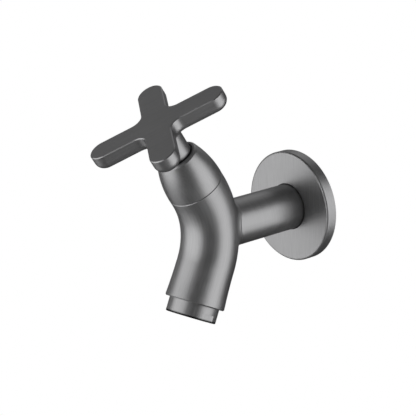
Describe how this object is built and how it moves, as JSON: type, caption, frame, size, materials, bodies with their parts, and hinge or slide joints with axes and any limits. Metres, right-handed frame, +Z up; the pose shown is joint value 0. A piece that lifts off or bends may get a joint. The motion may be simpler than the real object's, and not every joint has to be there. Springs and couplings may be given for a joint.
{
  "type": "wall-mounted tap",
  "caption": "Wall-mounted bib tap with a cross handle on a leaning valve, a bent body, a round wall flange and an aerator in the fixed spout.",
  "frame": {"origin": "on the axis of the inlet pipe, in the plane of the wall", "axes": "-Y points away from the wall, +Y into it along the inlet thread, +Z up, +X right as seen facing the wall"},
  "size_m": [0.0508, 0.1092, 0.1054],
  "materials": {
    "body_metal": "brushed gunmetal grey",
    "bonnet_metal": "brushed gunmetal grey",
    "handle_metal": "fine satin gunmetal grey",
    "flange_metal": "brushed gunmetal grey",
    "aerator_metal": "satin gunmetal grey",
    "cartridge_brass": "turned",
    "spindle_brass": "turned",
    "fixed_disc_ceramic": "lapped, off-white",
    "turning_disc_ceramic": "lapped, dark grey",
    "seal_rubber": "matt black",
    "gasket_fibre": "dark fibre-filled gasket",
    "glide_plastic": "black, low friction",
    "thrust_plastic": "natural white",
    "bush_plastic": "natural white",
    "circlip_steel": "spring steel",
    "grub_steel": "dark oiled steel",
    "foam": "closed-cell foam, dark grey",
    "insert_plastic": "light grey",
    "jet_plastic": "pale blue",
    "screen_steel": "stainless, perforated"
  },
  "bodies": {
    "tap": {"tap_body": "body_metal", "bonnet": "bonnet_metal", "glide_washer": "glide_plastic", "cartridge_body": "cartridge_brass", "cartridge_gasket": "gasket_fibre", "thrust_washer": "thrust_plastic", "fixed_disc": "fixed_disc_ceramic", "seat_seal": "seal_rubber", "aerator_housing": "aerator_metal", "aerator_washer": "seal_rubber", "aerator_screen": "screen_steel", "aerator_jet_plate": "jet_plastic", "aerator_insert": "insert_plastic", "aerator_mesh": "screen_steel"},
    "handle": {"cross_handle": "handle_metal", "spline_bush": "bush_plastic", "grub_screw": "grub_steel", "spindle": "spindle_brass", "spindle_circlip": "circlip_steel", "spindle_o_ring_lower": "seal_rubber", "spindle_o_ring_upper": "seal_rubber", "turning_disc": "turning_disc_ceramic"},
    "flange": {"wall_flange": "flange_metal", "flange_o_ring": "seal_rubber", "foam_ring": "foam"}
  },
  "joints": [
    {"name": "handle_turn", "type": "hinge", "parent": "tap", "child": "handle", "pos_m": [0, -0.0473, 0.0017], "axis": [0, -0.518, 0.8554], "range_deg": [0, 90]},
    {"name": "flange_slide", "type": "slide", "parent": "tap", "child": "flange", "axis": [0, -1, 0], "range_m": [0, 0.03]}
  ]
}
